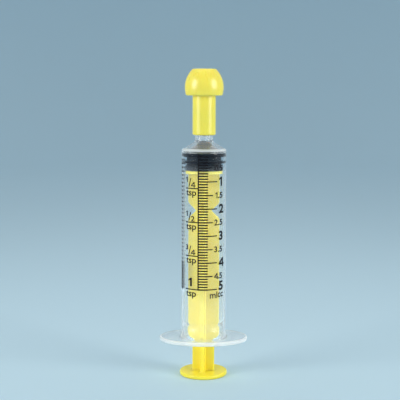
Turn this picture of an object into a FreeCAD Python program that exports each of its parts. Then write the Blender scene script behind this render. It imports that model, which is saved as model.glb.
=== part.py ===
import FreeCAD, Part
import math
import os
import Sketcher

# A 5 ml oral feeding syringe, standing on its thumb rest with the nozzle up and the plunger fully in.
# The origin is the middle of the thumb rest's outer face, +Z runs along the syringe to the cap, and
# the long axis of the oval finger flange lies along X. Sizes are in millimetres, angles in degrees.

# The driving sizes, one row of the sheet each
SIZES = (
    # Barrel, in heights above the outer face of its finger flange
    ("bore_radius", 6.12),
    ("bore_length", 60.35),
    ("barrel_wall", 0.9),
    ("shoulder_wall", 1.25),
    ("shoulder_chamfer", 0.2),
    ("nose_angle", 31.0),
    ("nozzle_radius", 2.8),
    ("nozzle_length", 10.4),
    ("nozzle_bore_radius", 1.2),
    ("nozzle_root_chamfer", 0.3),
    ("nozzle_tip_chamfer", 0.25),
    ("flange_length", 28.1),
    ("flange_width", 18.6),
    ("flange_thickness", 1.3),
    ("flange_rim_chamfer", 0.3),
    ("flange_root_chamfer", 0.6),
    ("mouth_chamfer", 0.3),
    ("retainer_height", 5.2),
    ("retainer_rise", 0.35),
    ("retainer_crest", 0.3),
    ("retainer_flank", 0.35),
    # Plunger, in heights above the outer face of its thumb rest
    ("thumb_radius", 7.6),
    ("thumb_thickness", 1.2),
    ("thumb_rim_chamfer", 0.3),
    ("rib_thickness", 1.3),
    ("rib_clearance", 1.17),
    ("rib_turn", 7.0),
    ("neck_width", 7.0),
    ("neck_drop", 0.2),
    ("neck_shoulder_rise", 2.1),
    ("neck_shoulder_round", 1.2),
    ("notch_drop", 11.8),
    ("notch_rise", 5.0),
    ("notch_core_width", 4.8),
    ("notch_lip_round", 1.5),
    ("notch_floor_round", 0.35),
    ("head_thickness", 1.0),
    ("head_clearance", 0.27),
    ("snap_neck_radius", 2.3),
    ("snap_neck_height", 1.6),
    ("snap_radius", 3.4),
    ("snap_band", 0.5),
    ("snap_taper", 2.1),
    ("snap_tip_radius", 1.9),
    # Stopper, in heights above its open end
    ("skirt_height", 1.55),
    ("skirt_clearance", 0.1),
    ("lower_groove_width", 0.7),
    ("lower_ring_width", 0.75),
    ("upper_groove_width", 1.25),
    ("upper_ring_width", 1.1),
    ("groove_depth", 0.66),
    ("groove_flank", 0.12),
    ("stopper_tip_radius", 0.6),
    # Tip cap, in heights above the mouth of its stem
    ("cap_wall", 0.815),
    ("stem_length", 12.3),
    ("stem_mouth_chamfer", 0.35),
    ("dome_radius", 6.13),
    ("dome_height", 8.3),
    ("dome_equator_height", 2.9),
    ("dome_cone_rise", 3.6),
    ("dome_base_chamfer", 0.5),
    ("dome_top_chamfer", 0.2),
    ("socket_chamfer", 0.25),
    # Where the pieces meet
    ("flange_height", 11.2),
    ("seal_gap", 0.04),
    ("snap_gap", 0.08),
    ("seat_gap", 0.05),
    ("nose_gap", 0.15),
    ("nozzle_reveal", 2.08),
    ("nozzle_end_gap", 0.2),
    ("socket_gap", 0.03),
)

doc = FreeCAD.newDocument("feeding_syringe")
sheet = doc.addObject("Spreadsheet::Sheet", "Sizes")
for row, (alias, value) in enumerate(SIZES, start=1):
    sheet.set(f"A{row}", alias)
    sheet.set(f"B{row}", str(value))
    sheet.setAlias(f"B{row}", alias)
doc.recompute()

# Sizes that follow from the driving ones, as expressions of the sheet
NOSE_SLOPE = "tan(Sizes.nose_angle * 1deg)"
BARREL_RADIUS = "(Sizes.bore_radius + Sizes.barrel_wall)"
SHOULDER_HEIGHT = (f"(Sizes.bore_length + Sizes.shoulder_wall / cos(Sizes.nose_angle * 1deg)"
                   f" - Sizes.barrel_wall * {NOSE_SLOPE})")
NOZZLE_BASE = f"({SHOULDER_HEIGHT} + ({BARREL_RADIUS} - Sizes.nozzle_radius) * {NOSE_SLOPE})"
NOZZLE_TIP = f"({NOZZLE_BASE} + Sizes.nozzle_length)"
RETAINER_LOW = "(Sizes.retainer_height - Sizes.retainer_crest / 2)"
RETAINER_HIGH = "(Sizes.retainer_height + Sizes.retainer_crest / 2)"
RETAINER_RADIUS = "(Sizes.bore_radius - Sizes.retainer_rise)"

LOWER_RING_LOW = "(Sizes.skirt_height + Sizes.lower_groove_width)"
LOWER_RING_HIGH = f"({LOWER_RING_LOW} + Sizes.lower_ring_width)"
UPPER_RING_LOW = f"({LOWER_RING_HIGH} + Sizes.upper_groove_width)"
STOPPER_SIDE = f"({UPPER_RING_LOW} + Sizes.upper_ring_width)"
RING_RADIUS = "(Sizes.bore_radius - Sizes.seal_gap)"
GROOVE_RADIUS = f"({RING_RADIUS} - Sizes.groove_depth)"
SKIRT_RADIUS = "(Sizes.bore_radius - Sizes.skirt_clearance)"

STOPPER_TIP = f"({STOPPER_SIDE} + ({RING_RADIUS} - Sizes.stopper_tip_radius) * {NOSE_SLOPE})"

STOPPER_BASE = f"(Sizes.flange_height + Sizes.bore_length - Sizes.nose_gap - {STOPPER_SIDE})"
HEAD_TOP = f"({STOPPER_BASE} - Sizes.seat_gap)"
HEAD_BASE = f"({HEAD_TOP} - Sizes.head_thickness)"
HEAD_RADIUS = "(Sizes.bore_radius - Sizes.head_clearance)"
RIB_REACH = "(Sizes.bore_radius - Sizes.rib_clearance)"
NECK_TOP = "(Sizes.flange_height - Sizes.neck_drop)"
NOTCH_HEIGHT = f"({HEAD_BASE} - Sizes.notch_drop)"
SNAP_BASE = f"({HEAD_TOP} + Sizes.snap_neck_height)"
SNAP_EDGE = f"({SNAP_BASE} + Sizes.snap_band)"

CAVITY_NECK = "(Sizes.snap_neck_radius + Sizes.snap_gap)"
CAVITY_RADIUS = "(Sizes.snap_radius + Sizes.snap_gap)"
CAVITY_LOW = "(Sizes.snap_neck_height - Sizes.seat_gap - Sizes.snap_gap)"
CAVITY_EDGE = "(Sizes.snap_neck_height - Sizes.seat_gap + Sizes.snap_band)"
CAVITY_TOP = f"({CAVITY_EDGE} + Sizes.snap_taper + Sizes.snap_gap)"

SOCKET_RADIUS = "(Sizes.nozzle_radius + Sizes.socket_gap)"
SOCKET_DEPTH = "(Sizes.nozzle_length - Sizes.nozzle_reveal + Sizes.nozzle_end_gap)"
STEM_RADIUS = f"({SOCKET_RADIUS} + Sizes.cap_wall)"
CAP_LENGTH = "(Sizes.stem_length + Sizes.dome_height)"


def size(alias):
    """The value of one driving size."""
    return float(sheet.get(alias))


def new_body(label):
    """An empty sub-part under its own label."""
    body = doc.addObject("PartDesign::Body", label)
    body.Label = label
    return body


def new_sketch(body, name, role):
    """An empty sketch on one of the body's own origin planes."""
    plane = next(item for item in body.Origin.OriginFeatures if item.Role == role)
    sketch = body.newObject("Sketcher::SketchObject", name)
    sketch.AttachmentSupport = [(plane, "")]
    sketch.MapMode = "FlatFace"
    return sketch


def bind(sketch, kind, where, expression):
    """One dimension of a sketch, held to an expression of the driving sizes."""
    index = sketch.addConstraint(Sketcher.Constraint(kind, *where))
    sketch.setExpression(f"Constraints[{index}]", expression)


def outline(body, name, corners):
    """A closed outline in the XZ plane, each corner held by its distance from the axis and its height.

    It starts as a regular polygon, and the bound distances carry every corner to its place.
    """
    sketch = new_sketch(body, name, "XZ_Plane")
    count = len(corners)
    step = 2 * math.pi / count
    start = [FreeCAD.Vector(math.cos(step * k), math.sin(step * k), 0) for k in range(count)]
    for k in range(count):
        sketch.addGeometry(Part.LineSegment(start[k], start[(k + 1) % count]))
    for k in range(count):
        sketch.addConstraint(Sketcher.Constraint("Coincident", k, 2, (k + 1) % count, 1))
    for k, (across, up) in enumerate(corners):
        bind(sketch, "DistanceX", (-1, 1, k, 1, start[k].x), across)
        bind(sketch, "DistanceY", (-1, 1, k, 1, start[k].y), up)
    doc.recompute()
    return sketch


def turned(body, kind, name, sketch):
    """A full turn of an outline about the body's axis, added to the body or cut from it."""
    feature = body.newObject(kind, name)
    feature.Profile = sketch
    feature.ReferenceAxis = (sketch, ["V_Axis"])
    feature.Angle = 360
    doc.recompute()
    return feature


def extruded(body, name, sketch, thickness):
    """An outline given a thickness, from its plane upwards, or to both sides of the XZ plane."""
    feature = body.newObject("PartDesign::Pad", name)
    feature.Profile = sketch
    feature.setExpression("Length", thickness)
    doc.recompute()
    return feature


def corner(sketch, number):
    """Height and reach from the axis of one corner of an outline."""
    point = sketch.getPoint(number, 1)
    return point.y, point.x


def picked(shape, test):
    """Names of the edges whose sample points pass a test."""
    numbered = enumerate(shape.Edges, start=1)
    return [f"Edge{number}" for number, edge in numbered if test(edge.discretize(5))]


def edges_at(shape, height, reach):
    """The level edges at one height whose middle lies at one distance from the axis."""
    def at_place(points):
        level = max(abs(point.z - height) for point in points) < 1e-4
        return level and abs(math.hypot(points[2].x, points[2].y) - reach) < 1e-4
    return picked(shape, at_place)


def dressed(body, kind, name, edges, length, expression):
    """The body with some of its edges chamfered or rounded, by a length held to an expression."""
    base = body.Tip
    feature = body.newObject(kind, name)
    feature.Base = (base, edges)
    feature.setExpression(length, expression)
    doc.recompute()
    return feature


def chamfered(body, name, edges, expression):
    """The body with a chamfer along some of its edges."""
    return dressed(body, "PartDesign::Chamfer", name, edges, "Size", expression)


def rounded(body, name, edges, expression):
    """The body with some of its edges rounded."""
    return dressed(body, "PartDesign::Fillet", name, edges, "Radius", expression)


# Barrel: one clear polypropylene moulding, with the tube, shoulder, nozzle and oval finger flange
barrel = new_body("barrel")
barrel.setExpression("Placement.Base.z", "Sizes.flange_height")

flange_outline = new_sketch(barrel, "FlangeOutline", "XY_Plane")
half_length = size("flange_length") / 2
half_width = size("flange_width") / 2
flange_outline.addGeometry(Part.Ellipse(FreeCAD.Vector(0, 0, 0), half_length, half_width))
flange_outline.exposeInternalGeometry(0)
flange_outline.addConstraint(Sketcher.Constraint("Coincident", 0, 3, -1, 1))
flange_outline.addConstraint(Sketcher.Constraint("Horizontal", 1))
bind(flange_outline, "Distance", (1, 2 * half_length), "Sizes.flange_length")
bind(flange_outline, "Distance", (2, 2 * half_width), "Sizes.flange_width")
flange = extruded(barrel, "Flange", flange_outline, "Sizes.flange_thickness")
flange_rims = [f"Edge{number}" for number, edge in enumerate(flange.Shape.Edges, start=1) if edge.isClosed()]
chamfered(barrel, "FlangeRims", flange_rims, "Sizes.flange_rim_chamfer")

tube_outline = outline(barrel, "TubeOutline", (
    ("0", "0"),
    (BARREL_RADIUS, "0"),
    (BARREL_RADIUS, SHOULDER_HEIGHT),
    ("Sizes.nozzle_radius", NOZZLE_BASE),
    ("Sizes.nozzle_radius", NOZZLE_TIP),
    ("0", NOZZLE_TIP),
))
turned(barrel, "PartDesign::Revolution", "Tube", tube_outline)
shoulder = corner(tube_outline, 2)
flange_root = edges_at(barrel.Tip.Shape, size("flange_thickness"), shoulder[1])
chamfered(barrel, "FlangeRoot", flange_root, "Sizes.flange_root_chamfer")
chamfered(barrel, "ShoulderEdge", edges_at(barrel.Tip.Shape, *shoulder), "Sizes.shoulder_chamfer")
nozzle_root = edges_at(barrel.Tip.Shape, *corner(tube_outline, 3))
chamfered(barrel, "NozzleRoot", nozzle_root, "Sizes.nozzle_root_chamfer")
nozzle_tip = edges_at(barrel.Tip.Shape, *corner(tube_outline, 4))
chamfered(barrel, "NozzleTip", nozzle_tip, "Sizes.nozzle_tip_chamfer")

bore_outline = outline(barrel, "BoreOutline", (
    ("0", "0"),
    ("Sizes.bore_radius + Sizes.mouth_chamfer", "0"),
    ("Sizes.bore_radius", "Sizes.mouth_chamfer"),
    ("Sizes.bore_radius", f"{RETAINER_LOW} - Sizes.retainer_flank"),
    (RETAINER_RADIUS, RETAINER_LOW),
    (RETAINER_RADIUS, RETAINER_HIGH),
    ("Sizes.bore_radius", f"{RETAINER_HIGH} + Sizes.retainer_flank"),
    ("Sizes.bore_radius", "Sizes.bore_length"),
    ("Sizes.nozzle_bore_radius",
     f"Sizes.bore_length + (Sizes.bore_radius - Sizes.nozzle_bore_radius) * {NOSE_SLOPE}"),
    ("Sizes.nozzle_bore_radius", NOZZLE_TIP),
    ("0", NOZZLE_TIP),
))
turned(barrel, "PartDesign::Groove", "Bore", bore_outline)

# Plunger: one yellow moulding, with a rod of four ribs that a V notch crosses, a round thumb rest,
# a head plate and the mushroom that snaps into the stopper
plunger = new_body("plunger")
plunger.Placement = FreeCAD.Placement(FreeCAD.Vector(0, 0, 0), FreeCAD.Rotation(FreeCAD.Vector(0, 0, 1), 1))
plunger.setExpression("Placement.Rotation.Angle", "-Sizes.rib_turn * 1deg")

thumb_outline = outline(plunger, "ThumbOutline", (
    ("0", "0"),
    ("Sizes.thumb_radius", "0"),
    ("Sizes.thumb_radius", "Sizes.thumb_thickness"),
    ("0", "Sizes.thumb_thickness"),
))
thumb_rest = turned(plunger, "PartDesign::Revolution", "ThumbRest", thumb_outline)
thumb_rims = (edges_at(thumb_rest.Shape, *corner(thumb_outline, 1))
              + edges_at(thumb_rest.Shape, *corner(thumb_outline, 2)))
chamfered(plunger, "ThumbRims", thumb_rims, "Sizes.thumb_rim_chamfer")

rib_outline = outline(plunger, "RibOutline", (
    ("0", "Sizes.thumb_thickness"),
    ("Sizes.neck_width / 2", "Sizes.thumb_thickness"),
    ("Sizes.neck_width / 2", NECK_TOP),
    (RIB_REACH, f"{NECK_TOP} + Sizes.neck_shoulder_rise"),
    (RIB_REACH, f"{NOTCH_HEIGHT} - Sizes.notch_rise / 2"),
    ("Sizes.notch_core_width / 2", NOTCH_HEIGHT),
    (RIB_REACH, f"{NOTCH_HEIGHT} + Sizes.notch_rise / 2"),
    (RIB_REACH, HEAD_BASE),
    ("0", HEAD_BASE),
))
rib = extruded(plunger, "Rib", rib_outline, "Sizes.rib_thickness")
rib.SideType = "Symmetric"
ribs = plunger.newObject("PartDesign::PolarPattern", "Ribs")
ribs.Originals = [rib]
ribs.Axis = (rib_outline, ["V_Axis"])
ribs.Angle = 360
ribs.Occurrences = 4
plunger.Tip = ribs
doc.recompute()
neck_shoulders = edges_at(plunger.Tip.Shape, *corner(rib_outline, 3))
rounded(plunger, "NeckShoulders", neck_shoulders, "Sizes.neck_shoulder_round")
notch_lips = (edges_at(plunger.Tip.Shape, *corner(rib_outline, 4))
              + edges_at(plunger.Tip.Shape, *corner(rib_outline, 6)))
rounded(plunger, "NotchLips", notch_lips, "Sizes.notch_lip_round")
notch_floors = edges_at(plunger.Tip.Shape, *corner(rib_outline, 5))
rounded(plunger, "NotchFloors", notch_floors, "Sizes.notch_floor_round")

head_outline = outline(plunger, "HeadOutline", (
    ("0", HEAD_BASE),
    (HEAD_RADIUS, HEAD_BASE),
    (HEAD_RADIUS, HEAD_TOP),
    ("Sizes.snap_neck_radius", HEAD_TOP),
    ("Sizes.snap_neck_radius", SNAP_BASE),
    ("Sizes.snap_radius", SNAP_BASE),
    ("Sizes.snap_radius", SNAP_EDGE),
    ("Sizes.snap_tip_radius", f"{SNAP_EDGE} + Sizes.snap_taper"),
    ("0", f"{SNAP_EDGE} + Sizes.snap_taper"),
))
turned(plunger, "PartDesign::Revolution", "Head", head_outline)

# Stopper: black rubber, with a skirt, two sealing rings, a conical face that fills the shoulder and a
# cavity that holds the plunger's mushroom
stopper = new_body("stopper")
stopper.setExpression("Placement.Base.z", STOPPER_BASE)
stopper_outline = outline(stopper, "StopperOutline", (
    ("0", "0"),
    (SKIRT_RADIUS, "0"),
    (SKIRT_RADIUS, "Sizes.skirt_height"),
    (GROOVE_RADIUS, "Sizes.skirt_height + Sizes.groove_flank"),
    (GROOVE_RADIUS, f"{LOWER_RING_LOW} - Sizes.groove_flank"),
    (RING_RADIUS, LOWER_RING_LOW),
    (RING_RADIUS, LOWER_RING_HIGH),
    (GROOVE_RADIUS, f"{LOWER_RING_HIGH} + Sizes.groove_flank"),
    (GROOVE_RADIUS, f"{UPPER_RING_LOW} - Sizes.groove_flank"),
    (RING_RADIUS, UPPER_RING_LOW),
    (RING_RADIUS, STOPPER_SIDE),
    ("Sizes.stopper_tip_radius", STOPPER_TIP),
    ("0", STOPPER_TIP),
))
turned(stopper, "PartDesign::Revolution", "Rubber", stopper_outline)
cavity_outline = outline(stopper, "CavityOutline", (
    ("0", "0"),
    (CAVITY_NECK, "0"),
    (CAVITY_NECK, CAVITY_LOW),
    (CAVITY_RADIUS, CAVITY_LOW),
    (CAVITY_RADIUS, CAVITY_EDGE),
    ("Sizes.snap_tip_radius + Sizes.snap_gap", CAVITY_TOP),
    ("0", CAVITY_TOP),
))
turned(stopper, "PartDesign::Groove", "Cavity", cavity_outline)

# Tip cap: one yellow moulding, a stem with a blind socket that pushes over the nozzle, under a domed
# head with a flat top
tip_cap = new_body("tip_cap")
tip_cap.setExpression("Placement.Base.z", f"Sizes.flange_height + {NOZZLE_BASE} + Sizes.nozzle_reveal")
stem_outline = outline(tip_cap, "StemOutline", (
    ("0", "0"),
    (STEM_RADIUS, "0"),
    (STEM_RADIUS, "Sizes.stem_length"),
    ("0", "Sizes.stem_length"),
))
turned(tip_cap, "PartDesign::Revolution", "Stem", stem_outline)
stem_mouth = edges_at(tip_cap.Tip.Shape, *corner(stem_outline, 1))
chamfered(tip_cap, "StemMouth", stem_mouth, "Sizes.stem_mouth_chamfer")

# The dome's side is a band of a sphere about the axis, with a cone tangent to it up to the flat top
dome_outline = new_sketch(tip_cap, "DomeOutline", "XZ_Plane")
dome_low = size("stem_length")
equator = dome_low + size("dome_equator_height")
dome_centre = FreeCAD.Vector(0, equator, 0)
low_angle = -math.asin(size("dome_equator_height") / size("dome_radius"))
high_angle = math.asin(size("dome_cone_rise") / size("dome_radius"))
low_way = FreeCAD.Vector(math.cos(low_angle), math.sin(low_angle), 0)
high_way = FreeCAD.Vector(math.cos(high_angle), math.sin(high_angle), 0)
low_point = dome_centre + size("dome_radius") * low_way
high_point = dome_centre + size("dome_radius") * high_way
dome_high = dome_low + size("dome_height")
cone_height = dome_high - high_point.y
top_point = high_point + cone_height * FreeCAD.Vector(-math.tan(high_angle), 1, 0)
axis_low = FreeCAD.Vector(0, dome_low, 0)
axis_high = FreeCAD.Vector(0, dome_high, 0)
dome_circle = Part.Circle(dome_centre, FreeCAD.Vector(0, 0, 1), size("dome_radius"))
dome_outline.addGeometry(Part.LineSegment(axis_low, low_point))
dome_outline.addGeometry(Part.ArcOfCircle(dome_circle, low_angle, high_angle))
dome_outline.addGeometry(Part.LineSegment(high_point, top_point))
dome_outline.addGeometry(Part.LineSegment(top_point, axis_high))
dome_outline.addGeometry(Part.LineSegment(axis_high, axis_low))
dome_outline.addConstraint([
    Sketcher.Constraint("Coincident", 0, 2, 1, 1),
    Sketcher.Constraint("Tangent", 1, 2, 2, 1),
    Sketcher.Constraint("Coincident", 2, 2, 3, 1),
    Sketcher.Constraint("Coincident", 3, 2, 4, 1),
    Sketcher.Constraint("Coincident", 4, 2, 0, 1),
    Sketcher.Constraint("PointOnObject", 0, 1, -2),
    Sketcher.Constraint("PointOnObject", 3, 2, -2),
    Sketcher.Constraint("PointOnObject", 1, 3, -2),
    Sketcher.Constraint("Horizontal", 0),
    Sketcher.Constraint("Horizontal", 3),
])
bind(dome_outline, "Radius", (1, size("dome_radius")), "Sizes.dome_radius")
bind(dome_outline, "DistanceY", (-1, 1, 0, 1, dome_low), "Sizes.stem_length")
bind(dome_outline, "DistanceY", (-1, 1, 1, 3, equator), "Sizes.stem_length + Sizes.dome_equator_height")
bind(dome_outline, "DistanceY", (1, 3, 1, 2, size("dome_cone_rise")), "Sizes.dome_cone_rise")
bind(dome_outline, "DistanceY", (-1, 1, 3, 2, dome_high), CAP_LENGTH)
doc.recompute()
turned(tip_cap, "PartDesign::Revolution", "Dome", dome_outline)
dome_base = edges_at(tip_cap.Tip.Shape, dome_low, low_point.x)
chamfered(tip_cap, "DomeBase", dome_base, "Sizes.dome_base_chamfer")
dome_top = edges_at(tip_cap.Tip.Shape, dome_high, top_point.x)
chamfered(tip_cap, "DomeTop", dome_top, "Sizes.dome_top_chamfer")

socket_outline = outline(tip_cap, "SocketOutline", (
    ("0", "0"),
    (f"{SOCKET_RADIUS} + Sizes.socket_chamfer", "0"),
    (SOCKET_RADIUS, "Sizes.socket_chamfer"),
    (SOCKET_RADIUS, SOCKET_DEPTH),
    ("0", SOCKET_DEPTH),
))
turned(tip_cap, "PartDesign::Groove", "Socket", socket_outline)

# Every object is checked before anything is written
doc.recompute()
for item in doc.Objects:
    if "Invalid" in item.State or "Error" in item.State:
        raise RuntimeError(f"{item.Label} failed: {item.State}")
os.makedirs("parts", exist_ok=True)
bodies = (barrel, plunger, stopper, tip_cap)
for body in bodies:
    if body.Shape.isNull() or not body.Shape.isValid() or len(body.Shape.Solids) != 1:
        raise RuntimeError(f"{body.Label} is not one valid solid")
for body in bodies:
    body.Shape.exportStep(f"parts/{body.Label}.step")
    box = body.Shape.BoundBox
    print(f"{body.Label}: {body.Shape.Volume:.2f} mm3, z {box.ZMin:.3f} to {box.ZMax:.3f},"
          f" x {box.XMin:.3f} to {box.XMax:.3f}, y {box.YMin:.3f} to {box.YMax:.3f}")
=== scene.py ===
import math

import bmesh
import bpy
import numpy as np
from mathutils import Matrix, Vector


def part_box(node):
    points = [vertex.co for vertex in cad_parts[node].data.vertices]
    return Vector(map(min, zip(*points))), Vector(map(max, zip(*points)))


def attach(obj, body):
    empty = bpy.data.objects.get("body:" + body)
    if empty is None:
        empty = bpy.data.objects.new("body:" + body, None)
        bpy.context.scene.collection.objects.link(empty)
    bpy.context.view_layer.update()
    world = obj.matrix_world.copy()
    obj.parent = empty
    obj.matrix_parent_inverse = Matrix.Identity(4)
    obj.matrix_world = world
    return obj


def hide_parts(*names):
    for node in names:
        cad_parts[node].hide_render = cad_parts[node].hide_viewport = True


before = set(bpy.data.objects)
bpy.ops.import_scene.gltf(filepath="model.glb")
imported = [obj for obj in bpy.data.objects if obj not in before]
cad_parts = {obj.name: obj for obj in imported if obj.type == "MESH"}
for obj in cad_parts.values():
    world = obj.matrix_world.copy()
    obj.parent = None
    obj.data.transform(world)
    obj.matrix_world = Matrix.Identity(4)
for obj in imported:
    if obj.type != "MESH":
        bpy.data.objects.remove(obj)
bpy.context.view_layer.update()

# Barrel
# The tube that holds the dose, with its shoulder, its nozzle and an oval flange for two fingers.
# One injection moulding of natural polypropylene, clear but a little milky; all else is fitted to it.

MM = 0.001
BARREL_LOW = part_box("barrel")[0][2] / MM
BARREL_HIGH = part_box("barrel")[1][2] / MM
BARREL_REACH = 7.02
BORE_REACH = 6.12
BORE_BEVEL = 0.3
BORE_END = BARREL_LOW + 60.35
FLANGE_REACH = (14.05, 9.3)
FLANGE_THICK = 1.3
FLANGE_RIM = 0.45
FLANGE_ROOT = 0.9
NOZZLE_REACH = 2.8
NOZZLE_BORE = 1.2
NOZZLE_ROOT = 1.6
NOSE_SLOPE = math.tan(math.radians(31.0))
NOSE_SKIN = 0.4
SHOULDER = BARREL_LOW + 61.27
MILKY_LOW = SHOULDER - 0.75
MILKY_RUN = 0.72
RIDGE_MIDDLE = BARREL_LOW + 5.2
RIDGE_REACH = 5.77
RIDGE_RUN = 1.3
BARREL_AROUND = 192
WALL_MARGIN = 0.05
BORE_MARGIN = 0.02
CLEAR_TINT = (0.90, 0.95, 0.985, 1.0)
SHADOW_TINT = (0.89, 0.91, 0.93, 1.0)
HAZE_POWER = 2.5
FOG_SPAN = 100

# Lower than the plastic's own 1.49, so that the wall mirrors less of the pale room over the black rubber
CLEAR_IOR = 1.42

# Each is (height in millimetres, share of milky plastic there), none where the stopper rests
WALL_FOG = ((24, 0.10), (30, 0.065), (65.5, 0.065), (68, 0.0))

# The largest turn between two points of an arc, in radians, and the millimetres from an arc to the
# nearest point of the flat beside it
ARC_TURN = 0.14
ARC_GAP = 0.08


def rounded_path(corners, step, closed=False):
    """Rows of (reach, height) along straight runs whose corners are arcs, in the order of the corners.

    A corner is (reach, height, radius). With the sides' unit directions i and o, the turn t between them
    and the unit vector s across i towards o, the arc starts radius * tan(t / 2) before the corner, and its
    point at the turn a is start + radius * (sin(a) * i + (1 - cos(a)) * s). A run between two arcs is
    divided evenly, with one more point close to each end, so that its shading stays flat.
    """
    table = np.array(corners, dtype=float)
    spots = table[:, :2]
    ways_in = spots - np.roll(spots, 1, axis=0)
    ways_in /= np.linalg.norm(ways_in, axis=1, keepdims=True)
    ways_out = np.roll(ways_in, -1, axis=0)
    turn_cos = np.clip(np.sum(ways_in * ways_out, axis=1), -1.0, 1.0)
    turns = np.arccos(turn_cos)
    sides = ways_out - turn_cos[:, None] * ways_in
    sides /= np.maximum(np.linalg.norm(sides, axis=1, keepdims=True), 1e-9)
    arcs = []
    for spot, radius, way, side, turn in zip(spots, table[:, 2], ways_in, sides, turns):
        swing = np.linspace(0.0, turn, 1 + max(2, math.ceil(turn / ARC_TURN)))[:, None]
        start = spot - way * radius * math.tan(turn / 2)
        arc = start + radius * (np.sin(swing) * way + (1 - np.cos(swing)) * side)
        arcs.append(arc if radius > 0 else spot[None])
    rows = []
    for k, arc in enumerate(arcs):
        rows.append(arc)
        if k + 1 == len(arcs) and not closed:
            break
        begin, end = arc[-1], arcs[(k + 1) % len(arcs)][0]
        length = np.linalg.norm(end - begin)
        near = min(ARC_GAP, length / 4)
        share = np.linspace(near, length - near, 2 + int(length / step))[:, None] / length
        rows.append(begin + share * (end - begin))
    return np.concatenate(rows)


def swung(path, around):
    """A grid of points: the path (reach, height) swung about the upright axis in even steps.

    x = reach * sin(angle), y = -reach * cos(angle), z = height, so the angle 0 faces the front.
    """
    angle = np.linspace(0.0, 2 * math.pi, around, endpoint=False)
    reach, height = path[:, :1], path[:, 1:]
    return np.stack((reach * np.sin(angle), -reach * np.cos(angle), height + 0 * angle), axis=2)


def placed(name, data):
    """A new object of the data, linked to the scene."""
    made = bpy.data.objects.new(name, data)
    bpy.context.scene.collection.objects.link(made)
    return made


def moulding(name, *shells):
    """One object from closed shells, each a grid of points in millimetres and whether its rows close too.

    Every grid closes across its columns. Doubled points, as where a row lies on the axis, are merged.
    """
    places, faces, first = [], [], 0
    for grid, rows_close in shells:
        rows, columns = grid.shape[:2]
        row = np.arange(rows if rows_close else rows - 1)[:, None]
        column = np.arange(columns)[None]
        row_next, column_next = (row + 1) % rows, (column + 1) % columns
        ring = np.stack((row * columns + column, row * columns + column_next,
                         row_next * columns + column_next, row_next * columns + column), axis=2)
        faces += (ring.reshape(-1, 4) + first).tolist()
        places += (grid.reshape(-1, 3) * MM).tolist()
        first += rows * columns
    mesh = bpy.data.meshes.new(name)
    mesh.from_pydata(places, [], faces)
    work = bmesh.new()
    work.from_mesh(mesh)
    bmesh.ops.remove_doubles(work, verts=work.verts, dist=1e-8)
    bmesh.ops.recalc_face_normals(work, faces=work.faces)
    work.to_mesh(mesh)
    work.free()
    mesh.shade_smooth()
    return placed(name, mesh)


barrel_path = rounded_path((
    (BORE_REACH + BORE_BEVEL, BARREL_LOW, 0.1),
    (FLANGE_REACH[1], BARREL_LOW, FLANGE_RIM),
    (FLANGE_REACH[1], BARREL_LOW + FLANGE_THICK, FLANGE_RIM),
    (BARREL_REACH, BARREL_LOW + FLANGE_THICK, FLANGE_ROOT),
    (BARREL_REACH, MILKY_LOW, 0.0),
    (BARREL_REACH, SHOULDER, 0.35),
    (BARREL_REACH - MILKY_RUN, SHOULDER + MILKY_RUN * NOSE_SLOPE, 0.0),
    (NOZZLE_REACH, SHOULDER + (BARREL_REACH - NOZZLE_REACH) * NOSE_SLOPE, NOZZLE_ROOT),
    (NOZZLE_REACH, BARREL_HIGH, 0.3),
    (NOZZLE_BORE, BARREL_HIGH, 0.1),
    (NOZZLE_BORE, BORE_END + (BORE_REACH - NOZZLE_BORE) * NOSE_SLOPE, 0.2),
    (BORE_REACH, BORE_END, 0.2),
    (BORE_REACH, RIDGE_MIDDLE + RIDGE_RUN, 3.0),
    (RIDGE_REACH, RIDGE_MIDDLE, 2.2),
    (BORE_REACH, RIDGE_MIDDLE - RIDGE_RUN, 3.0),
    (BORE_REACH, BARREL_LOW + BORE_BEVEL, 0.1),
), step=1.5, closed=True)
barrel_grid = swung(barrel_path, BARREL_AROUND)


def oval(grid, path, start, rim_start, half_axes):
    """The grid with its reaches past start carried out from a circle to an ellipse.

    A point between start and rim_start moves evenly from the circle of that radius to the ellipse less
    its rim, and a point past rim_start stands off the same place along the ellipse's normal, so the
    rim keeps one section all the way round.
    """
    long_half, short_half = half_axes
    rim = short_half - rim_start
    angle = np.linspace(0.0, 2 * math.pi, grid.shape[1], endpoint=False)
    sine, cosine = np.sin(angle), np.cos(angle)
    normal = np.stack((short_half * sine, -long_half * cosine), axis=1)
    normal /= np.linalg.norm(normal, axis=1, keepdims=True)
    edge = np.stack((long_half * sine, -short_half * cosine), axis=1) - rim * normal
    reach = path[:, 0][:, None, None]
    share = np.clip((reach - start) / (rim_start - start), 0.0, 1.0)
    circle = np.minimum(reach, start) * np.stack((sine, -cosine), axis=1)[None]
    past_rim = np.maximum(reach - rim_start, 0.0) * normal[None]
    bent = grid.copy()
    bent[:, :, :2] = (1 - share) * circle + share * edge[None] + past_rim
    return bent


barrel_grid = oval(barrel_grid, barrel_path, start=BARREL_REACH + FLANGE_ROOT,
                   rim_start=FLANGE_REACH[1] - FLANGE_RIM, half_axes=FLANGE_REACH)
barrel = moulding("clear_barrel", (barrel_grid, True))


def node(tree, kind, inputs, **settings):
    """A new node of a shader tree: its settings, then each input's value or the output that feeds it."""
    made = tree.nodes.new(kind)
    for name, value in settings.items():
        setattr(made, name, value)
    for name, value in inputs.items():
        if isinstance(value, bpy.types.NodeSocket):
            tree.links.new(value, made.inputs[name])
        else:
            made.inputs[name].default_value = value
    return made


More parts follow.
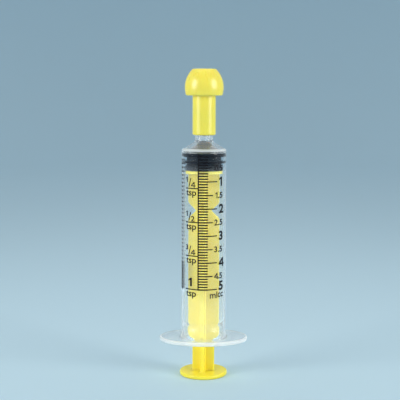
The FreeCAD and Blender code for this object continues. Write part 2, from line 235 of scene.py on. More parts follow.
def moulded_finish():
    """The finish of a moulded plastic: faint clouds, upright flow lines and a fine grain, as a group.

    Color is the plastic's colour, darker and lighter by Clouds. Roughness varies with the flow lines
    by Flow. Height is the grain's, for a Bump node.
    """
    group = bpy.data.node_groups.new("Moulded finish", "ShaderNodeTree")
    for name, kind in (("Color", "NodeSocketColor"), ("Clouds", "NodeSocketFloat"),
                       ("Roughness", "NodeSocketFloat"), ("Flow", "NodeSocketFloat")):
        group.interface.new_socket(name, in_out="INPUT", socket_type=kind)
    for name, kind in (("Color", "NodeSocketColor"), ("Roughness", "NodeSocketFloat"),
                       ("Height", "NodeSocketFloat")):
        group.interface.new_socket(name, in_out="OUTPUT", socket_type=kind)
    given = group.nodes.new("NodeGroupInput").outputs
    result = group.nodes.new("NodeGroupOutput").inputs
    place = node(group, "ShaderNodeTexCoord", {}).outputs["Object"]
    clouds = node(group, "ShaderNodeTexNoise", {"Vector": place, "Scale": 160.0, "Detail": 3.0})
    swing = node(group, "ShaderNodeMath", {0: clouds.outputs["Fac"], 1: 0.5}, operation="SUBTRACT")
    swing = node(group, "ShaderNodeMath", {0: swing.outputs[0], 1: given["Clouds"], 2: 1.0},
                 operation="MULTIPLY_ADD")
    tint = node(group, "ShaderNodeVectorMath", {0: given["Color"], "Scale": swing.outputs[0]},
                operation="SCALE")
    drawn = node(group, "ShaderNodeMapping", {"Vector": place, "Scale": (700.0, 700.0, 40.0)})
    flow = node(group, "ShaderNodeTexNoise", {"Vector": drawn.outputs[0], "Scale": 1.0, "Detail": 2.0})
    line = node(group, "ShaderNodeMath", {0: flow.outputs["Fac"], 1: 0.5}, operation="SUBTRACT")
    line = node(group, "ShaderNodeMath", {0: line.outputs[0], 1: given["Flow"], 2: given["Roughness"]},
                operation="MULTIPLY_ADD")
    grain = node(group, "ShaderNodeTexNoise", {"Vector": place, "Scale": 5000.0, "Detail": 2.0})
    group.links.new(tint.outputs[0], result["Color"])
    group.links.new(line.outputs[0], result["Roughness"])
    group.links.new(grain.outputs["Fac"], result["Height"])
    return group


def blank_material(name):
    """A new material and its node tree, with no nodes yet."""
    material = bpy.data.materials.new(name)
    material.use_nodes = True
    material.node_tree.nodes.clear()
    return material, material.node_tree


def moulded_plastic(name, colour, clouds, roughness, flow, grain_depth, body):
    """A material of one moulded plastic with the shared finish. Body is the shader's other plain inputs."""
    material, tree = blank_material(name)
    finish = node(tree, "ShaderNodeGroup", {
        "Color": colour,
        "Clouds": clouds,
        "Roughness": roughness,
        "Flow": flow,
    }, node_tree=MOULDED_FINISH)
    bump = node(tree, "ShaderNodeBump", {"Height": finish.outputs["Height"], "Distance": grain_depth * MM})
    shader = node(tree, "ShaderNodeBsdfPrincipled", {
        "Base Color": finish.outputs["Color"],
        "Roughness": finish.outputs["Roughness"],
        "Normal": bump.outputs["Normal"],
        **body,
    })
    node(tree, "ShaderNodeOutputMaterial", {"Surface": shader.outputs["BSDF"]})
    return material


def fog_by_height(tree, stops):
    """The share of milky plastic at each height, by a ramp whose stops are (height in mm, share)."""
    place = node(tree, "ShaderNodeTexCoord", {}).outputs["Object"]
    height = node(tree, "ShaderNodeSeparateXYZ", {"Vector": place}).outputs["Z"]
    share = node(tree, "ShaderNodeMapRange", {"Value": height, "From Max": FOG_SPAN * MM})
    ramp = node(tree, "ShaderNodeValToRGB", {"Fac": share.outputs["Result"]})
    elements = ramp.color_ramp.elements
    for stop in stops[2:]:
        elements.new(stop[0] / FOG_SPAN)
    for element, (level, fog) in zip(elements, stops):
        element.position = level / FOG_SPAN
        element.color = (fog, fog, fog, 1.0)
    return ramp.outputs["Color"]


def clear_moulding(name, clearness, roughness, flow, haze, fog=()):
    """Clear plastic with a share of milky plastic that thickens towards grazing sight.

    The share is haze * facing ^ HAZE_POWER + the fog at the height, where fog is given. Light reaches
    what is inside: for shadow rays alone the wall is transparent.
    """
    material = moulded_plastic(
        name, CLEAR_TINT, clouds=0.06, roughness=roughness, flow=flow, grain_depth=0.0005,
        body={"Transmission Weight": clearness, "IOR": CLEAR_IOR, "Specular IOR Level": 0.2})
    tree = material.node_tree
    clear = tree.nodes["Principled BSDF"].outputs["BSDF"]
    milky = node(tree, "ShaderNodeBsdfPrincipled", {"Base Color": CLEAR_TINT, "Roughness": 0.5})
    facing = node(tree, "ShaderNodeLayerWeight", {"Blend": 0.5}).outputs["Facing"]
    grazing = node(tree, "ShaderNodeMath", {0: facing, 1: HAZE_POWER}, operation="POWER").outputs[0]
    fogged = fog_by_height(tree, fog) if fog else 0.0
    share = node(tree, "ShaderNodeMath", {0: grazing, 1: haze, 2: fogged}, operation="MULTIPLY_ADD")
    hazed = node(tree, "ShaderNodeMixShader", {"Fac": share.outputs[0], 1: clear, 2: milky.outputs["BSDF"]})
    lit_inside = node(tree, "ShaderNodeBsdfTransparent", {"Color": SHADOW_TINT})
    shadow_ray = node(tree, "ShaderNodeLightPath", {}).outputs["Is Shadow Ray"]
    blended = node(tree, "ShaderNodeMixShader", {
        "Fac": shadow_ray,
        1: hazed.outputs["Shader"],
        2: lit_inside.outputs["BSDF"],
    })
    tree.links.new(blended.outputs["Shader"], tree.nodes["Material Output"].inputs["Surface"])
    return material


# The plain wall, then the thicker flange, nose and ridge, then the rim and the shoulder's corner
MOULDED_FINISH = moulded_finish()
for wall in (
    clear_moulding("clear_wall", clearness=1.0, roughness=0.06, flow=0.05, haze=0.30, fog=WALL_FOG),
    clear_moulding("cloudy_thick_wall", clearness=0.85, roughness=0.12, flow=0.02, haze=0.2),
    clear_moulding("milky_edge", clearness=0.42, roughness=0.28, flow=0.0, haze=0.2),
):
    barrel.data.materials.append(wall)

# The faces between two rows of the path share one plastic, told by the place midway between the rows
wall_reach, wall_height = ((barrel_path + np.roll(barrel_path, -1, axis=0)) / 2).T
nose_reach = wall_reach + (wall_height - SHOULDER) / NOSE_SLOPE
by_flange = wall_height < BARREL_LOW + FLANGE_THICK + FLANGE_ROOT
by_ridge = np.abs(wall_height - RIDGE_MIDDLE) < RIDGE_RUN
on_flange = by_flange & (wall_reach > BARREL_REACH + WALL_MARGIN)
on_ridge = by_ridge & (wall_reach < BORE_REACH - BORE_MARGIN)
on_nose = (wall_height > MILKY_LOW) & (nose_reach > BARREL_REACH - NOSE_SKIN)
on_rim = wall_reach > FLANGE_REACH[1] - FLANGE_RIM
on_corner = on_nose & (wall_reach > BARREL_REACH - MILKY_RUN)
wall_kind = np.select((on_rim | on_corner, on_flange | on_nose | on_ridge), (2, 1), 0).astype(np.int32)
barrel.data.polygons.foreach_set("material_index", np.repeat(wall_kind, BARREL_AROUND))
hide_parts("barrel")
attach(barrel, "barrel")

# Printed scale
# The dose scale on the front of the tube: millilitres on the right and teaspoons on the left of one
# upright line. Black ink, screen printed on the finished moulding, a few hundredths thick.

INK_UNDER = BARREL_REACH - 0.01
INK_OVER = BARREL_REACH + 0.02
ZERO_HEIGHT = 71.4
ML_STEP = 8.5
TICKS = 50
TICKS_PER_ML = 10
SPINE_ANGLE = -14.6
SPINE_HALF = 1.6
TICK_HALF = 0.22
LINE_HALF = 0.17
TICK_ENDS = (10.2, 23.2, 36.0)
SPOON_ML = (1.25, 2.5, 3.75, 5.0)
SPOON_LINE_END = -53.0
PATCH_PARTS = 12

# The bars at the scale's left edge, from angle to angle, each row (first height, end, step, thickness)
EDGE_ANGLES = (-88.0, -68.0)
EDGE_BARS = ((28.5, 37.0, 1.0, 0.75), (38.0, 70.0, 1.2, 0.42))


def bars(left, right, low, high):
    """Rows (left angle, right angle, low, high) of level bars, from numbers or arrays of one length."""
    return np.stack(np.broadcast_arrays(left, right, low, high), axis=-1).reshape(-1, 4)


def bent_patches(spans):
    """Thin closed patches on the tube, one for each row (left angle, right angle, low, high) of spans.

    Each is a flat bar of four long edges, under and over the wall's face at its low and high side:
    x = reach * sin(angle), y = -reach * cos(angle), z = height, with the angle divided evenly.
    """
    left, right, low, high = (spans[:, k][:, None, None] for k in range(4))
    share = np.linspace(0.0, 1.0, PATCH_PARTS + 1)[None, :, None]
    angle = np.radians(left + (right - left) * share)
    reach = np.array((INK_UNDER, INK_OVER, INK_OVER, INK_UNDER))
    upper = np.array((0.0, 0.0, 1.0, 1.0))
    height = low + (high - low) * upper
    points = np.stack((reach * np.sin(angle), -reach * np.cos(angle), height + 0 * angle), axis=3)
    step, edge = np.arange(PATCH_PARTS)[:, None] * 4, np.arange(4)[None]
    edge_next = (edge + 1) % 4
    along = np.stack((step + edge, step + edge_next, step + 4 + edge_next, step + 4 + edge), axis=2)
    ends = np.array(((3, 2, 1, 0), (0, 1, 2, 3))) + np.array((0, 4 * PATCH_PARTS))[:, None]
    single = np.concatenate((along.reshape(-1, 4), ends))
    faces = single[None] + (np.arange(len(spans)) * 4 * (PATCH_PARTS + 1))[:, None, None]
    return points.reshape(-1, 3), faces.reshape(-1, 4)


tick_ml = np.arange(1, TICKS + 1) / TICKS_PER_ML
tick_height = ZERO_HEIGHT - ML_STEP * tick_ml
tick_kind = np.where(tick_ml % 1 == 0, 2, np.where(tick_ml % 0.5 == 0, 1, 0))
tick_end = np.array(TICK_ENDS)[tick_kind]
spoon_height = ZERO_HEIGHT - ML_STEP * np.array(SPOON_ML)
printed_lines = [
    bars(SPINE_ANGLE, TICK_ENDS[0], tick_height - TICK_HALF, tick_height + TICK_HALF),
    bars(TICK_ENDS[0], tick_end, tick_height - LINE_HALF, tick_height + LINE_HALF)[tick_kind > 0],
    bars(SPOON_LINE_END, SPINE_ANGLE, spoon_height - LINE_HALF, spoon_height + LINE_HALF),
    bars(SPINE_ANGLE - SPINE_HALF, SPINE_ANGLE + SPINE_HALF,
         tick_height[-1] - TICK_HALF, ZERO_HEIGHT + TICK_HALF),
]
for low, end, step, thick in EDGE_BARS:
    bar_low = np.arange(low, end, step)
    printed_lines.append(bars(*EDGE_ANGLES, bar_low, bar_low + thick))
line_places, line_faces = bent_patches(np.concatenate(printed_lines))

# Each mark is (text, arc of its left side in mm from the front, height of its middle, letter height,
# width for the height, stroke offset)
full_height = spoon_height[-1]
marks = [(str(ml), 5.1, ZERO_HEIGHT - ML_STEP * ml, 2.9, 1.15, 0.10) for ml in (1, 2, 3, 4)]
marks += [("5", 5.15, full_height + 1.05, 3.0, 1.15, 0.10)]
for whole in (0, 1, 2, 3, 4):
    middle = ZERO_HEIGHT - ML_STEP * (whole + 0.5)
    marks += [
        (str(whole), 3.4 + 0.3 * (whole == 1), middle, 1.9, 1.0, 0.05),
        (".5", 4.72, middle, 1.9, 1.2, 0.05),
    ]
for (top, bottom), height in zip((("1", "4"), ("1", "2"), ("3", "4")), spoon_height):
    marks += [
        (top, -6.4, height + 2.7, 1.65, 1.1, 0.05),
        ("/", -5.3, height + 1.85, 2.8, 1.0, 0.02),
        (bottom, -4.3, height + 1.15, 1.75, 1.15, 0.03),
    ]
marks += [("1", -5.2, full_height + 2.35, 2.7, 1.15, 0.13)]
marks += [("tsp", -6.25, height - 1.75, 2.35, 1.1, 0.04) for height in spoon_height]
marks += [
    ("ml", 1.95, full_height - 1.75, 2.1, 1.0, 0.03),
    ("cc", 4.75, full_height - 1.9, 1.5, 1.0, 0.03),
]

# The lettering is cut at even steps of arc, so that it bends with the tube, and points nearer than the
# join become one. The stroke is for a figure one unit high. Flat letters are one unit thick.
LETTER_CUTS = np.arange(-7.0, 8.5, 0.3)
LETTER_JOIN = 1e-4
LETTER_STROKE = 0.13
LETTER_HALF = 0.5


def points_of(mesh):
    """A mesh's points, as rows of x, y and z."""
    points = np.empty(len(mesh.vertices) * 3)
    mesh.vertices.foreach_get("co", points)
    return points.reshape(-1, 3)


def drawn_figures(stroke):
    """The outlines of the figures one and four, one unit high, with strokes of the given width.

    The one is a stem with a flag. The four has an open triangle, whose outline is the second.
    """
    one_right, flag_top = 0.42, 0.80
    four_stem, bar_end, bar_low = 0.48, 0.64, 0.24
    bar_high = bar_low + 0.9 * stroke
    one = (
        (one_right - stroke, 0.0),
        (one_right, 0.0),
        (one_right, 1.0),
        (one_right - 0.8 * stroke, 1.0),
        (0.0, flag_top),
        (0.0, flag_top - 0.9 * stroke),
        (one_right - stroke, 0.98 - stroke),
    )
    four = (
        (four_stem, 0.0),
        (four_stem + stroke, 0.0),
        (four_stem + stroke, bar_low),
        (bar_end + stroke, bar_low),
        (bar_end + stroke, bar_high),
        (four_stem + stroke, bar_high),
        (four_stem + stroke, 1.0),
        (four_stem, 1.0),
        (0.0, bar_high),
        (0.0, bar_low),
        (four_stem, bar_low),
    )
    triangle = ((four_stem, bar_high), (1.3 * stroke, bar_high), (four_stem, 1.0 - 1.6 * stroke))
    return {"1": (one,), "4": (four, triangle)}


def flat_mark(text, left, height, tall, width, offset):
    """A mark's flat closed mesh in millimetres, tall high, with its left side and middle height as given.

    The figures one and four are drawn with plain strokes. Every other mark is set in plain type. The
    stroke offset is divided by the height that the mark is scaled to.
    """
    drawn = drawn_figures(LETTER_STROKE + 2 * offset / tall)
    if text in drawn:
        curve = bpy.data.curves.new("mark", "CURVE")
        curve.dimensions = "2D"
        curve.fill_mode = "BOTH"
        for corners in drawn[text]:
            spline = curve.splines.new("POLY")
            spline.points.add(len(corners) - 1)
            spline.points.foreach_set("co", np.pad(corners, ((0, 0), (0, 2))).ravel())
            spline.use_cyclic_u = True
    else:
        curve = bpy.data.curves.new("mark", "FONT")
        curve.body = text
        curve.offset = offset / tall
        curve.resolution_u = 5
    curve.extrude = LETTER_HALF
    letters = placed("mark", curve)
    mesh = bpy.data.meshes.new_from_object(letters)
    bpy.data.objects.remove(letters)
    bpy.data.curves.remove(curve)
    points = points_of(mesh)
    low, high = points.min(axis=0), points.max(axis=0)
    scale = tall / (high[1] - low[1])
    points = points - (low[0], (low[1] + high[1]) / 2, 0.0)
    points = points * (scale * width, scale, 1.0) + (left, height, LETTER_HALF)
    mesh.vertices.foreach_set("co", points.ravel())
    return mesh


work = bmesh.new()
for mark in marks:
    flat = flat_mark(*mark)
    work.from_mesh(flat)
    bpy.data.meshes.remove(flat)
bmesh.ops.remove_doubles(work, verts=work.verts, dist=LETTER_JOIN)
for arc in LETTER_CUTS:
    everything = work.verts[:] + work.edges[:] + work.faces[:]
    bmesh.ops.bisect_plane(work, geom=everything, plane_co=(arc, 0, 0), plane_no=(1, 0, 0))
bmesh.ops.triangulate(work, faces=work.faces)
lettering = bpy.data.meshes.new("lettering")
work.to_mesh(lettering)
work.free()
sheet = points_of(lettering)
reach = INK_UNDER + (INK_OVER - INK_UNDER) * sheet[:, 2]
angle = sheet[:, 0] / BARREL_REACH
bent = np.stack((reach * np.sin(angle), -reach * np.cos(angle), sheet[:, 1]), axis=1) * MM
lettering.vertices.foreach_set("co", bent.ravel())

lines = bpy.data.meshes.new("lines")
lines.from_pydata((line_places * MM).tolist(), [], line_faces.tolist())
work = bmesh.new()
work.from_mesh(lines)
work.from_mesh(lettering)
bmesh.ops.recalc_face_normals(work, faces=work.faces)
scale_mesh = bpy.data.meshes.new("printed_scale")
work.to_mesh(scale_mesh)
work.free()
bpy.data.meshes.remove(lines)
bpy.data.meshes.remove(lettering)
printed_scale = placed("printed_scale", scale_mesh)

ink, tree = blank_material("black_ink")
place = node(tree, "ShaderNodeTexCoord", {}).outputs["Object"]
cover = node(tree, "ShaderNodeTexNoise", {"Vector": place, "Scale": 2500.0, "Detail": 3.0})
thin_ink = node(tree, "ShaderNodeMix", {
    "Factor": cover.outputs["Fac"],
    6: (0.003, 0.003, 0.005, 1.0),
    7: (0.010, 0.011, 0.016, 1.0),
}, data_type="RGBA")
ink_shader = node(tree, "ShaderNodeBsdfPrincipled", {
    "Base Color": thin_ink.outputs[2],
    "Roughness": 0.5,
    "Specular IOR Level": 0.15,
})
node(tree, "ShaderNodeOutputMaterial", {"Surface": ink_shader.outputs["BSDF"]})
scale_mesh.materials.append(ink)
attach(printed_scale, "barrel")

# Plunger
# The rod that pushes the stopper: a round thumb rest, four ribs that narrow to a neck by the thumb
# rest and are crossed by a V notch, a head plate and the mushroom that snaps into the rubber.
# One injection moulding of yellow polypropylene.

THUMB_REACH = 7.6
THUMB_THICK = 1.2
RIB_HALF = 0.65
RIB_REACH = 4.95
RIB_TURN = -7.0
RIB_SINK = 0.2
NECK_REACH = 3.5
NECK_TOP = 11.0
NECK_FLARE = 2.1
NOTCH_MIDDLE = 53.2
NOTCH_REACH = 2.4
NOTCH_HALF = 2.5
FOOT_ROUND = 0.5
FOOT_ROWS = 8
HEAD_LOW = 65.0
HEAD_HIGH = 66.0
HEAD_REACH = 5.85
STALK_REACH = 2.3
MUSHROOM_REACH = 3.4
MUSHROOM_TIP = 1.9
MUSHROOM_LOW = HEAD_HIGH + 1.6
MUSHROOM_BRIM = HEAD_HIGH + 2.1
MUSHROOM_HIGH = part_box("plunger")[1][2] / MM
TURNED_AROUND = 144
YELLOW = (0.94, 0.775, 0.06, 1.0)

rib_path = rounded_path((
    (NECK_REACH, THUMB_THICK - RIB_SINK, 0.0),
    (NECK_REACH, NECK_TOP, 0.6),
    (RIB_REACH, NECK_TOP + NECK_FLARE, 1.2),
    (RIB_REACH, NOTCH_MIDDLE - NOTCH_HALF, 1.5),
    (NOTCH_REACH, NOTCH_MIDDLE, 0.35),
    (RIB_REACH, NOTCH_MIDDLE + NOTCH_HALF, 1.5),
    (RIB_REACH, HEAD_LOW + RIB_SINK, 0.0),
), step=1.5)


def ribbed_rod(path, half, tip_round, root_round, foot_height, foot_round, turn):
    """A grid for a rod of four ribs, with its section carried up the path (rib reach, height).

    One rib's section runs from the root arc on its left, along the flank, round the two arcs of the tip
    and back to the root on its right. Its points stand at along = fixed + gain * reach and at across, and
    the foot adds r - sqrt(r^2 - drop^2) to both, where drop is how far the height is under the foot arc's
    top. The four ribs are the same section turned by quarter turns about the axis.
    """
    root = half + root_round
    quarter = np.linspace(0.0, math.pi / 2, 5)
    tip_along = -tip_round + tip_round * np.sin(quarter)
    tip_across = tip_round - half - tip_round * np.cos(quarter)
    half_root = np.linspace(math.pi / 4, math.pi / 2, 4)
    root_along = root - root_round * np.cos(half_root)
    root_across = root_round * np.sin(half_root) - root
    fixed = np.concatenate((root_along, (root + ARC_GAP,), (-tip_round - ARC_GAP,), tip_along))
    gain = np.concatenate((np.zeros(5), np.ones(6)))
    across = np.concatenate((root_across, (-half,), (-half,), tip_across))
    fixed, gain, across = (np.concatenate((a, a[::-1])) for a in (fixed, gain, across))
    across[len(across) // 2:] *= -1
    reach, height = path[:, :1], path[:, 1:]
    drop = np.clip(foot_height + foot_round - height, 0.0, foot_round)
    foot = foot_round - np.sqrt(foot_round ** 2 - drop ** 2)
    along = fixed + gain * reach + foot
    across = across + np.sign(across) * foot
    way = np.radians(turn) + np.arange(4)[:, None, None] * math.pi / 2
    x = along * np.sin(way) + across * np.cos(way)
    y = -along * np.cos(way) + across * np.sin(way)
    ribs = np.stack((x, y, height + 0 * x), axis=3)
    section = np.concatenate(list(ribs), axis=1)
    low, high = section[:1] * (0, 0, 1), section[-1:] * (0, 0, 1)
    return np.concatenate((low, section, high))


# The rod's lowest rows stand closer together towards the thumb rest, along the foot's round
foot_height = THUMB_THICK + FOOT_ROUND * np.linspace(0.0, 0.95, FOOT_ROWS) ** 1.5
foot_rows = np.stack((np.full(FOOT_ROWS, NECK_REACH), foot_height), axis=1)
rib_path = np.concatenate((rib_path[:1], foot_rows, rib_path[rib_path[:, 1] > THUMB_THICK + FOOT_ROUND]))
rod_grid = ribbed_rod(rib_path, RIB_HALF, tip_round=0.2, root_round=0.3, foot_height=THUMB_THICK,
                      foot_round=FOOT_ROUND, turn=RIB_TURN)
thumb_path = rounded_path((
    (0.0, 0.0, 0.0),
    (THUMB_REACH, 0.0, 0.4),
    (THUMB_REACH, THUMB_THICK, 0.4),
    (0.0, THUMB_THICK, 0.0),
), step=1.5)
head_path = rounded_path((
    (0.0, HEAD_LOW, 0.0),
    (HEAD_REACH, HEAD_LOW, 0.2),
    (HEAD_REACH, HEAD_HIGH, 0.2),
    (STALK_REACH, HEAD_HIGH, 0.2),
    (STALK_REACH, MUSHROOM_LOW, 0.1),
    (MUSHROOM_REACH, MUSHROOM_LOW, 0.15),
    (MUSHROOM_REACH, MUSHROOM_BRIM, 0.4),
    (MUSHROOM_TIP, MUSHROOM_HIGH, 0.4),
    (0.0, MUSHROOM_HIGH, 0.0),
), step=1.5)
plunger = moulding("yellow_plunger", (rod_grid, False), (swung(thumb_path, TURNED_AROUND), False),
                   (swung(head_path, TURNED_AROUND), False))
plunger.data.materials.append(moulded_plastic(
    "yellow_polypropylene", YELLOW, clouds=0.08, roughness=0.24, flow=0.08, grain_depth=0.005, body={
        "IOR": 1.49,
        "Subsurface Weight": 0.3,
        "Subsurface Radius": (1.0, 0.8, 0.3),
        "Subsurface Scale": 1.5 * MM,
    }))
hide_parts("plunger")
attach(plunger, "plunger")

# Stopper
# The seal that pushes the dose out: a skirt, two rings that press on the bore and a cone that fills
# the shoulder. Black rubber, moulded, pushed over the plunger's mushroom.

STOPPER_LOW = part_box("stopper")[0][2] / MM
SKIRT_REACH = 6.02
GROOVE_REACH = 5.42
SEAL_REACH = BORE_REACH + 0.02
POCKET_MOUTH = 2.38
POCKET_REACH = 3.48
POCKET_TIP = 1.98
CONE_TIP = 0.6

# Heights above the skirt's open end, for a groove or a ring those of its lower and upper edge
POCKET_LIP = 1.47
POCKET_BRIM = 2.05
POCKET_ROOF = 4.23
SKIRT_TOP = 1.55
LOW_GROOVE = (1.67, 2.13)
LOW_RING = (2.25, 3.0)
HIGH_GROOVE = (3.12, 4.13)
HIGH_RING = (4.25, 5.35)
CONE_TOP = 8.64

# Each is (reach, height, radius), from the pocket's roof round the skirt to the cone's tip
stopper_path = rounded_path([(reach, STOPPER_LOW + height, radius) for reach, height, radius in (
    (0.0, POCKET_ROOF, 0.0),
    (POCKET_TIP, POCKET_ROOF, 0.3),
    (POCKET_REACH, POCKET_BRIM, 0.3),
    (POCKET_REACH, POCKET_LIP, 0.15),
    (POCKET_MOUTH, POCKET_LIP, 0.1),
    (POCKET_MOUTH, 0.0, 0.15),
    (SKIRT_REACH, 0.0, 0.15),
    (SKIRT_REACH, SKIRT_TOP, 0.15),
    (GROOVE_REACH, LOW_GROOVE[0], 0.15),
    (GROOVE_REACH, LOW_GROOVE[1], 0.15),
    (SEAL_REACH, LOW_RING[0], 0.18),
    (SEAL_REACH, LOW_RING[1], 0.18),
    (GROOVE_REACH, HIGH_GROOVE[0], 0.15),
    (GROOVE_REACH, HIGH_GROOVE[1], 0.15),
    (SEAL_REACH, HIGH_RING[0], 0.18),
    (SEAL_REACH, HIGH_RING[1], 0.2),
    (CONE_TIP, CONE_TOP, 0.5),
    (0.0, CONE_TOP, 0.0),
)], step=1.0)
stopper = moulding("rubber_stopper", (swung(stopper_path, TURNED_AROUND), False))

rubber, tree = blank_material("black_rubber")
place = node(tree, "ShaderNodeTexCoord", {}).outputs["Object"]
bloom = node(tree, "ShaderNodeTexNoise", {"Vector": place, "Scale": 500.0, "Detail": 4.0})
rubber_colour = node(tree, "ShaderNodeMix", {
    "Factor": bloom.outputs["Fac"],
    6: (0.002, 0.003, 0.007, 1.0),
    7: (0.007, 0.010, 0.018, 1.0),
}, data_type="RGBA")
rubber_rough = node(tree, "ShaderNodeMapRange", {
    "Value": bloom.outputs["Fac"],
    "To Min": 0.30,
    "To Max": 0.48,
})
rubber_shader = node(tree, "ShaderNodeBsdfPrincipled", {
    "Base Color": rubber_colour.outputs[2],
    "Roughness": rubber_rough.outputs["Result"],
    "Specular IOR Level": 0.05,
})
node(tree, "ShaderNodeOutputMaterial", {"Surface": rubber_shader.outputs["BSDF"]})
stopper.data.materials.append(rubber)
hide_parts("stopper")
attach(stopper, "stopper")

# Tip cap
# The cover of the nozzle: a stem with a blind socket and a domed head to pull it off by.
# One injection moulding of yellow plastic, held on the nozzle by its press fit.

CAP_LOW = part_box("tip_cap")[0][2] / MM
CAP_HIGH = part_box("tip_cap")[1][2] / MM
SOCKET_REACH = 2.83
SOCKET_DEPTH = 8.52
SOCKET_BEVEL = 0.25
STEM_REACH = 3.645
STEM_LENGTH = 12.3
DOME_ARC = 8.0
DOME_TURNS = (-14.4, 44.5)
DOME_OFFSET = -1.9
DOME_EQUATOR = CAP_LOW + STEM_LENGTH + 2.5
CAP_YELLOW = (0.95, 0.79, 0.10, 1.0)


def arc_by_tangents(centre, radius, degrees, low, high):
    """Corners of an upright arc drawn as tangents: on the level low, where the tangents meet, and on high.

    The tangents touch the circle at two turns above its level, given in degrees. They meet at the middle
    turn, radius divided by the cosine of half the swing from the centre, and run on to the heights low
    and high.
    """
    turns = np.radians(degrees)
    touch = centre + radius * np.stack((np.cos(turns), np.sin(turns)), axis=1)
    run = (np.array((low, high)) - touch[:, 1]) / np.cos(turns)
    ends = touch + run[:, None] * np.stack((-np.sin(turns), np.cos(turns)), axis=1)
    middle = turns.mean()
    way = np.array((math.cos(middle), math.sin(middle)))
    meet = centre + radius / math.cos((turns[1] - turns[0]) / 2) * way
    return ends[0], meet, ends[1]


dome_low, dome_meet, dome_high = arc_by_tangents(
    np.array((DOME_OFFSET, DOME_EQUATOR)), DOME_ARC, DOME_TURNS, CAP_LOW + STEM_LENGTH, CAP_HIGH)
cap_path = rounded_path((
    (0.0, CAP_LOW + SOCKET_DEPTH, 0.0),
    (SOCKET_REACH, CAP_LOW + SOCKET_DEPTH, 0.2),
    (SOCKET_REACH, CAP_LOW + SOCKET_BEVEL, 0.1),
    (SOCKET_REACH + SOCKET_BEVEL, CAP_LOW, 0.1),
    (STEM_REACH, CAP_LOW, 0.4),
    (STEM_REACH, CAP_LOW + STEM_LENGTH, 0.25),
    (*dome_low, 0.65),
    (*dome_meet, DOME_ARC),
    (*dome_high, 0.35),
    (0.0, CAP_HIGH, 0.0),
), step=1.5)
tip_cap = moulding("yellow_cap", (swung(cap_path, TURNED_AROUND), False))
tip_cap.data.materials.append(moulded_plastic(
    "yellow_cap_plastic", CAP_YELLOW, clouds=0.06, roughness=0.28, flow=0.06, grain_depth=0.008, body={
        "IOR": 1.49,
        "Specular IOR Level": 0.7,
        "Subsurface Weight": 0.3,
        "Subsurface Radius": (1.0, 0.8, 0.3),
        "Subsurface Scale": 2.0 * MM,
    }))
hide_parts("tip_cap")
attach(tip_cap, "tip_cap")

# Floor and backdrop
# A pale matt sheet that the syringe stands on, curved up all round it, so that the clear wall has the
# same kind of surrounding in every view. Not part of the object.

SHEET_FLAT = 0.8
SHEET_CURVE = 0.45
SHEET_TOP = 1.5
SHEET_AROUND = 144
SHEET_ROWS = 24
SHEET_TINT = (0.50, 0.68, 0.80, 1.0)


def backdrop_sheet(flat, curve, top):
    """A round floor whose edge turns up to the height top through a quarter circle of radius curve.

    x = reach * sin(angle), y = -reach * cos(angle), z = rise, with the last column on the first.
    """
    turn = np.linspace(0.0, math.pi / 2, SHEET_ROWS)
    reach = np.concatenate(((0.0, flat / 2), flat + curve * np.sin(turn), (flat + curve,)))[:, None]
    rise = np.concatenate(((0.0, 0.0), curve - curve * np.cos(turn), (top,)))[:, None]
    angle = np.linspace(-math.pi, math.pi, SHEET_AROUND + 1)[None]
    grid = np.stack((reach * np.sin(angle), -reach * np.cos(angle), rise + 0 * angle), axis=2)
    rows, columns = grid.shape[:2]
    corner = np.arange(rows - 1)[:, None] * columns + np.arange(columns - 1)[None]
    faces = np.stack((corner, corner + columns, corner + columns + 1, corner + 1), axis=2)
    return grid.reshape(-1, 3), faces.reshape(-1, 4)


floor_mesh = bpy.data.meshes.new("floor")
floor_places, floor_faces = backdrop_sheet(SHEET_FLAT, SHEET_CURVE, SHEET_TOP)
floor_mesh.from_pydata(floor_places.tolist(), [], floor_faces.tolist())
floor_mesh.shade_smooth()
floor = placed("floor", floor_mesh)
paper = bpy.data.materials.new("pale_sheet")
paper.use_nodes = True
paper.node_tree.nodes["Principled BSDF"].inputs["Base Color"].default_value = SHEET_TINT
paper.node_tree.nodes["Principled BSDF"].inputs["Roughness"].default_value = 0.9
floor_mesh.materials.append(paper)

# Lamps
# Two upright soft boxes, left and right of the camera, and a wide one overhead, in a plain pale room.
# The upright ones have a grid that narrows their light, so that the floor below them isn't brighter.

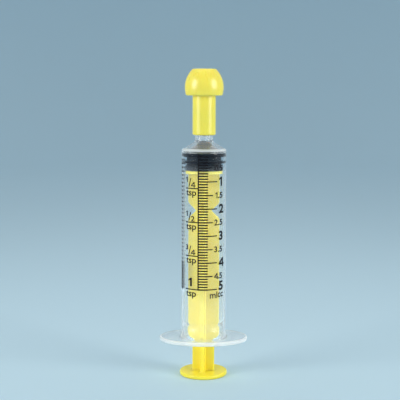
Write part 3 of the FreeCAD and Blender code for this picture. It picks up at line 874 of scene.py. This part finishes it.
LAMP_TINT = (1.0, 0.95, 0.87)
LAMP_AIM = Vector((0.0, 0.0, 0.05))
ROOM_TINT = (1.0, 0.97, 0.93, 1.0)
ROOM_STRENGTH = 0.20

# Each is (turn from the camera's side, rise, distance from the barrel, width, height, spread, power)
SOFT_BOXES = (
    (-62.0, 16.0, 0.6, 0.34, 0.38, 70.0, 0.5),
    (62.0, 16.0, 0.6, 0.34, 0.38, 70.0, 0.5),
    (180.0, 75.0, 1.4, 1.8, 1.6, 180.0, 10.0),
)


def soft_box(turn, rise, distance, width, height, spread, power):
    """A rectangular soft box at a turn and a rise from the middle of the barrel, facing it."""
    lamp = bpy.data.lights.new("soft_box", "AREA")
    lamp.shape = "RECTANGLE"
    lamp.size, lamp.size_y = width, height
    lamp.spread = math.radians(spread)
    lamp.energy = power
    lamp.color = LAMP_TINT
    around, up = math.radians(turn), math.radians(rise)
    way = Vector((math.sin(around) * math.cos(up), -math.cos(around) * math.cos(up), math.sin(up)))
    facing = way.to_track_quat("Z", "Y").to_matrix().to_4x4()
    placed("soft_box", lamp).matrix_world = Matrix.Translation(way * distance + LAMP_AIM) @ facing


for box in SOFT_BOXES:
    soft_box(*box)
room = bpy.data.worlds.new("room")
room.use_nodes = True
room.node_tree.nodes["Background"].inputs["Color"].default_value = ROOM_TINT
room.node_tree.nodes["Background"].inputs["Strength"].default_value = ROOM_STRENGTH
bpy.context.scene.world = room
bpy.context.scene.view_settings.view_transform = "Standard"

# Camera
# At the photograph's distance, height and tilt, with its slight roll. They and the lens were fitted
# to the photograph, so that the object fills the frame in the same way.

CAMERA_LENS = 84.85
CAMERA_PLACE = (-0.00123, -0.2968, 0.0916)
CAMERA_DIP = 6.75
CAMERA_ROLL = 0.16

camera_data = bpy.data.cameras.new("camera")
camera_data.lens = CAMERA_LENS
camera_data.clip_start = 0.01
camera = placed("camera", camera_data)
tilt = Matrix.Rotation(math.radians(90.0 - CAMERA_DIP), 4, "X")
roll = Matrix.Rotation(math.radians(CAMERA_ROLL), 4, "Z")
camera.matrix_world = Matrix.Translation(CAMERA_PLACE) @ tilt @ roll
bpy.context.scene.camera = camera
